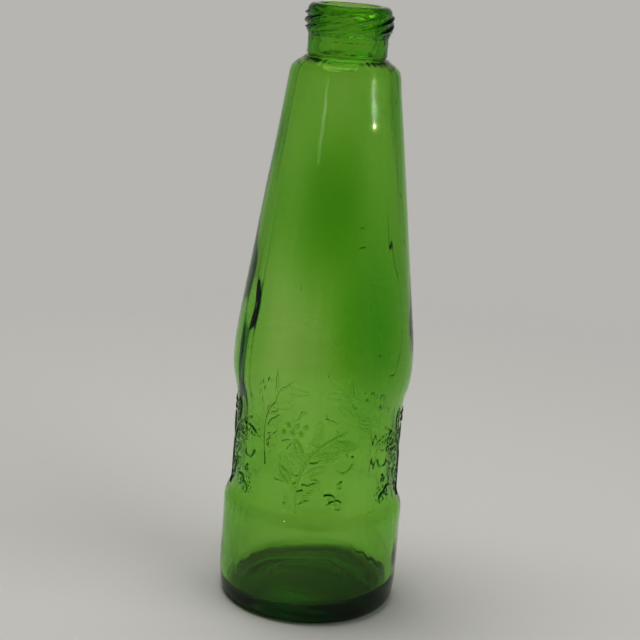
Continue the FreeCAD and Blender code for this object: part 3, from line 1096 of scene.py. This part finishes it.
    def spacing(self, radius: float, height: float, inside: bool) -> tuple[float, int]:
        """How fine the mesh is at one place of the section.

        Args:
            radius: Distance from the axis in millimetres.
            height: Height up the bottle in millimetres.
            inside: Whether the place is on the inner wall.

        Returns:
            The distance to the next ring in millimetres, and the ring's number of points.
        """
        steps = self.steps
        if inside:
            at_end = height > self.total - 2 or height < self.floor_height + 6
            return (steps.lining_ends if at_end else steps.lining), self.plain
        if height < 1.5 and radius > self.bearing_inner:
            return steps.knurl, self.fine
        if height < (self.heel_side_top if radius > self.bearing_inner else 6):
            return steps.base, self.plain
        if self.relief_band[0] < height < self.relief_band[1]:
            return steps.relief, self.fine
        if self.crease_band[0] < height < self.crease_band[1]:
            return steps.crease, self.plain
        if height > self.neck_top - 2:
            return steps.finish, self.plain
        if height > self.taper_top - 4:
            return steps.shoulder, self.plain
        return steps.taper, self.plain

    def rings(self) -> list[Ring]:
        """Lay rings along the softened section.

        Returns:
            Every ring, from under the base's middle round to the inner floor's middle.
        """
        loop = self.smooth(np.vstack([self.outside(), self.inside()]), self.softness)
        tangent = np.gradient(loop, axis=0)
        tangent /= np.linalg.norm(tangent, axis=1)[:, None]
        made: list[Ring] = []
        turn = int(np.argmax(loop[:, 1]))
        smallest = 0.6
        travelled = 0.0
        last = loop[0]
        for index, (point, lean) in enumerate(zip(loop, tangent)):
            travelled += float(np.hypot(*(point - last)))
            last = point
            inside = index >= turn
            step, count = self.spacing(point[0], point[1], inside)
            if point[0] < smallest or (made and travelled < step):
                continue
            travelled = 0.0
            made.append(Ring(point[0], point[1], (lean[1], -lean[0]), count, inside))
        return made

    def inner_lift(self, azimuth: Array, height: Array) -> Array:
        """How far the inner wall stands in off the plain section.

        Args:
            azimuth: Angle from the front in radians.
            height: Height up the bottle in millimetres.

        Returns:
            Lift in millimetres.
        """
        lift = self.streaks.lift(azimuth, height) - self.inner_ripple.lift(azimuth, height)
        for patch in self.patches:
            lift = lift + patch.lift(azimuth, height)
        in_neck = height > self.neck_foot
        mouth_fade = ramp((self.total - self.mouth_run - height) / self.mouth_run)
        calm = np.where(in_neck, self.neck_calm * mouth_fade, 1.0)
        settled = ramp((height - self.floor_height - self.floor_round) / self.settled_run)
        return lift * calm * settled

    def outer_lift(self, azimuth: Array, radius: Array, height: Array) -> Array:
        """How far the outer skin, with all its marks, stands off the plain section.

        Args:
            azimuth: Angle from the front in radians.
            radius: Distance from the axis in millimetres.
            height: Height up the bottle in millimetres.

        Returns:
            Lift in millimetres.
        """
        run = self.skin_run
        side = ramp((height - self.skin_foot) / run) * ramp((self.taper_top - height) / run)
        lift = side * (self.outer_ripple.lift(azimuth, height) - self.skin_allowance)
        for panel in self.relief:
            lift = lift + panel.lift(azimuth, height)
        for fold in self.folds:
            lift = lift + fold.lift(azimuth, height)
        run = self.chill_run
        chilled = ramp((height - self.neck_foot) / run) * ramp((self.total - 1 - height) / run)
        lift = lift + chilled * (self.chill_marks.lift(azimuth, height) - self.skin_allowance)
        threaded = (height > self.finish_foot - 1) & (height < self.lip_foot)
        lift = lift + np.where(threaded, self.thread.lift(azimuth, height), 0)
        lift = lift + self.knurl.lift(azimuth, radius, height)
        lift = lift + self.neck_seam.lift(height)
        under = (radius < self.bearing_inner) & (height < self.push_up + 1)
        lift = lift + np.where(under, self.baffle.lift(radius), 0)
        for seam in self.seams:
            lift = lift + seam.lift(azimuth, radius, height)
        return lift

    def displaced(self, rings: Sequence[Ring]) -> Array:
        """How far the points of some like rings stand off the plain section.

        Args:
            rings: Rings with equal point counts, all inside or all outside.

        Returns:
            Lift in millimetres, one row for each ring.
        """
        azimuth = self.turns(rings[0].count)[None, :]
        height = np.array([ring.height for ring in rings])[:, None]
        radius = np.array([ring.radius for ring in rings])[:, None]
        azimuth, height, radius = np.broadcast_arrays(azimuth, height, radius)
        if rings[0].inside:
            return self.inner_lift(azimuth, height)
        return self.outer_lift(azimuth, radius, height)

    def lean(self, across: Array, height: float) -> Array:
        """How far the inner floor stands up on its right and down on its left.

        Args:
            across: Distance to the right of the axis in millimetres.
            height: Height of the ring, whose lean fades out up the wall.

        Returns:
            Rise in millimetres.
        """
        share = (self.lean_top - height) / (self.lean_top - self.floor_height - 2)
        return self.floor_lean * float(ramp(np.array(share))) * across / self.floor_radius

    def turns(self, count: int) -> Array:
        """Angles of a ring's points, crowded at the seams and over the front of the relief."""
        crowds = [(seam, math.radians(4.5), 0.8) for seam in self.seam_azimuths]
        return crowded_turns(count, [*crowds, (0.0, math.radians(34), 0.36)])

    def ring_points(self, ring: Ring, lift: Array) -> Array:
        """Places of one ring's points.

        Args:
            ring: The ring.
            lift: How far each point stands off it in millimetres.

        Returns:
            One row for each point, in millimetres.
        """
        turn = self.turns(ring.count)
        radius = ring.radius + lift * ring.normal[0]
        height = ring.height + lift * ring.normal[1]
        if ring.inside:
            height = height + self.lean(radius * np.sin(turn), ring.height)
        return np.column_stack([radius * np.sin(turn), -radius * np.cos(turn), height])

    def mesh(self) -> bpy.types.Mesh:
        """Build the closed mesh of the whole bottle.

        Returns:
            The mesh, in metres.
        """
        rings = self.rings()
        verts: list[Array] = [np.array([[0.0, 0.0, self.push_up]])]
        faces: list[tuple[int, ...]] = []
        starts: list[int] = []
        total = 1
        for _, group in groupby(rings, key=lambda ring: (ring.inside, ring.count)):
            like = list(group)
            for ring, lift in zip(like, self.displaced(like)):
                verts.append(self.ring_points(ring, lift))
                starts.append(total)
                total += ring.count
        verts.append(np.array([[0.0, 0.0, self.floor_height + self.floor_crown]]))
        first, last = rings[0], rings[-1]
        for step in range(first.count):
            faces.append((0, starts[0] + (step + 1) % first.count, starts[0] + step))
        for row, (low, high) in enumerate(zip(rings, rings[1:])):
            faces.extend(self.band(starts[row], low.count, starts[row + 1], high.count))
        for step in range(last.count):
            faces.append((total, starts[-1] + step, starts[-1] + (step + 1) % last.count))
        bubbles, bubble_faces = self.bubbles(total + 1)
        verts.append(bubbles)
        faces.extend(bubble_faces)
        mesh = bpy.data.meshes.new("bottle_glass")
        mesh.from_pydata((np.vstack(verts) * MM).tolist(), [], faces)
        mesh.polygons.foreach_set("use_smooth", np.ones(len(mesh.polygons), dtype=bool))
        mesh.update()
        return mesh

    def bubbles(self, first: int) -> tuple[Array, list[tuple[int, ...]]]:
        """Scatter seeds through the middle of the wall.

        Args:
            first: Number of the first bubble's first corner in the mesh.

        Returns:
            Corner positions in millimetres, and faces.
        """
        seeds = Seeds()
        rng = np.random.default_rng(seeds.seed)
        verts: list[Array] = []
        faces: list[tuple[int, ...]] = []
        for _ in range(seeds.count):
            height = rng.uniform(self.step_foot, self.taper_top - 6)
            turn = rng.uniform(0, 2 * math.pi)
            size = rng.uniform(*seeds.sizes)
            share = (height - self.taper_foot) / (self.taper_top - self.taper_foot)
            slope = self.taper_foot_radius + share * (self.taper_top_radius - self.taper_foot_radius)
            radius = (slope if share > 0 else self.waist_radius) - 0.5 * self.wall
            middle = np.array([radius * math.sin(turn), -radius * math.cos(turn), height])
            faces.extend(seeds.faces(first + len(verts)))
            verts.extend(seeds.ball(middle, size))
        return np.array(verts), faces

    def band(self, low: int, low_count: int, high: int, high_count: int) -> list[tuple[int, ...]]:
        """Faces between two neighbouring rings, whose counts are equal or a whole ratio apart.

        Args:
            low: Number of the first ring's first point.
            low_count: How many points it has.
            high: Number of the second ring's first point.
            high_count: How many points it has.

        Returns:
            The faces as point numbers.
        """
        faces: list[tuple[int, ...]] = []
        if low_count <= high_count:
            ratio = high_count // low_count
            for i in range(low_count):
                j = (i + 1) % low_count
                tops = [high + (i * ratio + k) % high_count for k in range(ratio + 1)]
                faces.append((low + i, low + j, *reversed(tops)))
            return faces
        ratio = low_count // high_count
        for i in range(high_count):
            j = (i + 1) % high_count
            bottoms = [low + (i * ratio + k) % low_count for k in range(ratio + 1)]
            faces.append((*bottoms, high + j, high + i))
        return faces

    def build(self) -> bpy.types.Object:
        """Make the bottle, dress it and put it on its body.

        Returns:
            The bottle object.
        """
        mesh = self.mesh()
        piece = bpy.data.objects.new("bottle_glass", mesh)
        bpy.context.scene.collection.objects.link(piece)
        mesh.materials.append(self.finish.material())
        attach(piece, BODY)
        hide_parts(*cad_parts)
        return piece


# ---------------------------------------------------------------- studio


@dataclass(frozen=True)
class StudioLamp:
    """A rectangular light that faces a height on the bottle's axis."""

    name: str
    place: tuple[float, float, float]
    size: Point
    watts: float
    aimed_at: float
    spread: float = 180.0
    lights_table: bool = True
    mirrored: bool = False
    seen_through_glass: bool = False

    def build(self) -> bpy.types.Object:
        """Hang the lamp.

        Returns:
            The lamp.
        """
        data = bpy.data.lights.new(self.name, "AREA")
        data.shape = "RECTANGLE"
        data.size, data.size_y = self.size
        data.energy = self.watts
        data.spread = math.radians(self.spread)
        lamp = bpy.data.objects.new(self.name, data)
        bpy.context.scene.collection.objects.link(lamp)
        lamp.location = Vector(self.place)
        aim = Vector((0, 0, self.aimed_at)) - lamp.location
        lamp.rotation_euler = aim.to_track_quat("-Z", "Y").to_euler()
        lamp.visible_diffuse = self.lights_table
        lamp.visible_glossy = self.mirrored
        lamp.visible_transmission = self.seen_through_glass
        lamp.visible_camera = False
        return lamp


@dataclass
class Studio:
    """Pale floor, pale surroundings, soft window light and the camera."""

    camera_distance: float = 461.0
    camera_height: float = 214.5
    pitch: float = 15.04
    roll: float = 4.40
    yaw: float = -0.245
    lens: float = 86.3
    backdrop: str = "#a5a4a1"
    side_share: float = 0.72
    back_cosines: Point = (0.55, 0.97)
    front_share: float = 0.45
    front_cosines: Point = (-0.96, -0.55)
    overhead_share: float = 0.25
    overhead_sines: Point = (0.25, 0.65)
    floor_colour: str = "#c9c8c4"
    floor_radius: float = 900.0
    floor_corners: int = 96
    floor_fade: Point = (0.12, 0.5)
    lamps: tuple[StudioLamp, ...] = (
        StudioLamp(
            "window_glint",
            (1.03, -0.594, 0.38),
            (0.03, 0.09),
            watts=0.3,
            aimed_at=0.16,
            spread=6,
            lights_table=False,
            mirrored=True,
            seen_through_glass=True,
        ),
        StudioLamp(
            "far_window_glint",
            (-0.66, -0.97, 0.34),
            (0.03, 0.12),
            watts=0.0008,
            aimed_at=0.1,
            spread=14,
            lights_table=False,
            mirrored=True,
        ),
        StudioLamp("window", (1.0, -0.55, 0.55), (1.1, 1.1), watts=5.5, aimed_at=0.1),
        StudioLamp(
            "fill", (-0.2, 0.1, 1.3), (1.0, 1.0), watts=10.0, aimed_at=0.1, seen_through_glass=True
        ),
    )

    def camera(self) -> None:
        """Stand the camera in front of the bottle, looking a little down."""
        data = bpy.data.cameras.new("camera")
        data.lens = self.lens
        data.sensor_width = 36
        data.clip_start = 0.01
        camera = bpy.data.objects.new("camera", data)
        bpy.context.scene.collection.objects.link(camera)
        pitch, roll, yaw = (math.radians(a) for a in (self.pitch, self.roll, self.yaw))
        ahead = Vector(
            (math.sin(yaw) * math.cos(pitch), math.cos(yaw) * math.cos(pitch), -math.sin(pitch))
        )
        right = Vector((math.cos(yaw), -math.sin(yaw), 0))
        up = right.cross(ahead)
        leaned_right = right * math.cos(roll) + up * math.sin(roll)
        leaned_up = up * math.cos(roll) - right * math.sin(roll)
        turn = Matrix((leaned_right, leaned_up, -ahead)).transposed().to_4x4()
        place = Vector((0, -self.camera_distance, self.camera_height)) * MM
        camera.matrix_world = Matrix.Translation(place) @ turn
        bpy.context.scene.camera = camera

    def table_paint(self) -> bpy.types.Material:
        """Matt paint that melts into the surroundings away from the bottle.

        Returns:
            The material.
        """
        # Rolled matt emulsion: pale, even and without gloss, so only soft shadows show on it.
        made = bpy.data.materials.new("table_top_matt_paint")
        made.use_nodes = True
        tree = made.node_tree
        tree.nodes.clear()
        paint = add_node(tree, "ShaderNodeBsdfDiffuse", {"Color": linear(self.floor_colour)})
        clear = add_node(tree, "ShaderNodeBsdfTransparent")
        place = add_node(tree, "ShaderNodeTexCoord")
        reach = add_node(
            tree, "ShaderNodeVectorMath", {"operation": "LENGTH"}, {0: place.outputs["Object"]}
        )
        fade = add_node(
            tree,
            "ShaderNodeMapRange",
            {
                "interpolation_type": "SMOOTHSTEP",
                "From Min": self.floor_fade[0],
                "From Max": self.floor_fade[1],
            },
            {"Value": reach.outputs["Value"]},
        )
        mixed = add_node(
            tree,
            "ShaderNodeMixShader",
            {},
            {0: fade.outputs["Result"], 1: paint.outputs[0], 2: clear.outputs[0]},
        )
        out = add_node(tree, "ShaderNodeOutputMaterial")
        tree.links.new(mixed.outputs[0], out.inputs["Surface"])
        return made

    def floor(self) -> bpy.types.Object:
        """Lay a round table top under the bottle.

        Returns:
            The floor object.
        """
        turns = np.linspace(0, 2 * math.pi, self.floor_corners, endpoint=False)
        reach = self.floor_radius * MM
        rim = [(math.cos(a) * reach, math.sin(a) * reach, 0) for a in turns]
        mesh = bpy.data.meshes.new("floor")
        mesh.from_pydata(rim, [], [tuple(range(self.floor_corners))])
        floor = bpy.data.objects.new("floor", mesh)
        bpy.context.scene.collection.objects.link(floor)
        mesh.materials.append(self.table_paint())
        return floor

    def surroundings(self) -> None:
        """Pale walls all round, brightest behind the bottle, dim in front and overhead."""
        world = bpy.data.worlds.new("studio")
        bpy.context.scene.world = world
        world.use_nodes = True
        tree = world.node_tree
        tree.nodes.clear()
        place = add_node(tree, "ShaderNodeTexCoord")
        parts = add_node(tree, "ShaderNodeSeparateXYZ", {}, {0: place.outputs["Generated"]})
        flat = add_node(
            tree,
            "ShaderNodeVectorMath",
            {"operation": "MULTIPLY", 1: (1, 1, 0)},
            {0: place.outputs["Generated"]},
        )
        level = add_node(
            tree, "ShaderNodeVectorMath", {"operation": "NORMALIZE"}, {0: flat.outputs[0]}
        )
        bearing = add_node(tree, "ShaderNodeSeparateXYZ", {}, {0: level.outputs[0]})
        facing, raised = bearing.outputs["Y"], parts.outputs["Z"]
        shares = []
        for source, span, ends in (
            (facing, self.front_cosines, (self.front_share, 1.0)),
            (facing, self.back_cosines, (self.side_share, 1.0)),
            (raised, self.overhead_sines, (1.0, self.overhead_share)),
        ):
            share = add_node(
                tree,
                "ShaderNodeMapRange",
                {
                    "interpolation_type": "SMOOTHSTEP",
                    "From Min": span[0],
                    "From Max": span[1],
                    "To Min": ends[0],
                    "To Max": ends[1],
                },
                {"Value": source},
            )
            shares.append(share.outputs["Result"])
        front, back, overhead = shares
        level_share = add_node(tree, "ShaderNodeMath", {"operation": "MULTIPLY"}, {0: front, 1: back})
        strength = add_node(
            tree, "ShaderNodeMath", {"operation": "MULTIPLY"}, {0: overhead, 1: level_share.outputs[0]}
        )
        sky = add_node(
            tree,
            "ShaderNodeBackground",
            {"Color": linear(self.backdrop)},
            {"Strength": strength.outputs[0]},
        )
        out = add_node(tree, "ShaderNodeOutputWorld")
        tree.links.new(sky.outputs[0], out.inputs["Surface"])

    def build(self) -> None:
        """Set up the whole studio."""
        self.camera()
        self.floor()
        self.surroundings()
        for lamp in self.lamps:
            lamp.build()
        scene = bpy.context.scene
        scene.view_settings.view_transform = "Standard"
        scene.view_settings.look = "High Contrast"
        scene.cycles.max_bounces = 24
        scene.cycles.transmission_bounces = 20
        scene.cycles.glossy_bounces = 12


def main() -> None:
    """Build the studio and the bottle, and report each piece."""
    logging.basicConfig(level=logging.INFO, format="%(name)s: %(message)s")
    Studio().build()
    log.info("studio ready")
    piece = Bottle(BottleGlass()).build()
    log.info("%s: %d faces", piece.name, len(piece.data.polygons))


if __name__ == "__main__":
    main()
